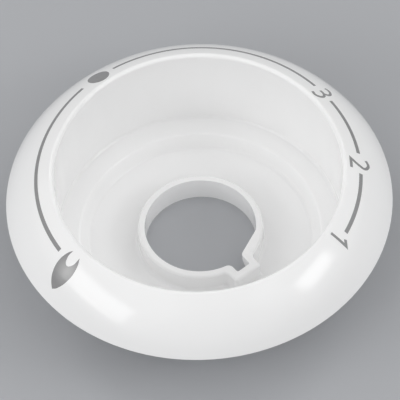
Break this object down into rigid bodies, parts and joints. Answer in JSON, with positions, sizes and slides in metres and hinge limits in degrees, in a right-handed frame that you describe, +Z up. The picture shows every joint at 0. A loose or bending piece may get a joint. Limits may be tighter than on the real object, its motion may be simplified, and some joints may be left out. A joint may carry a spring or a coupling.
{
  "type": "cooker knob dial ring",
  "caption": "Dial ring of a cooker control knob: a domed rim with a printed scale round a deep stepped cup, and a short keyed collar round an open bore in the cup's floor.",
  "frame": {"origin": "centre of the bore in the plane of the floor's underside, which it rests on", "axes": "+Z up along the bore axis, out of the cup's mouth; -Y towards the front of the scale"},
  "size_m": [0.062, 0.062, 0.0195],
  "materials": {
    "plastic": "gloss moulded",
    "print": "satin pad-printed ink"
  },
  "bodies": {
    "root": {"dial_ring": "plastic"}
  },
  "joints": []
}
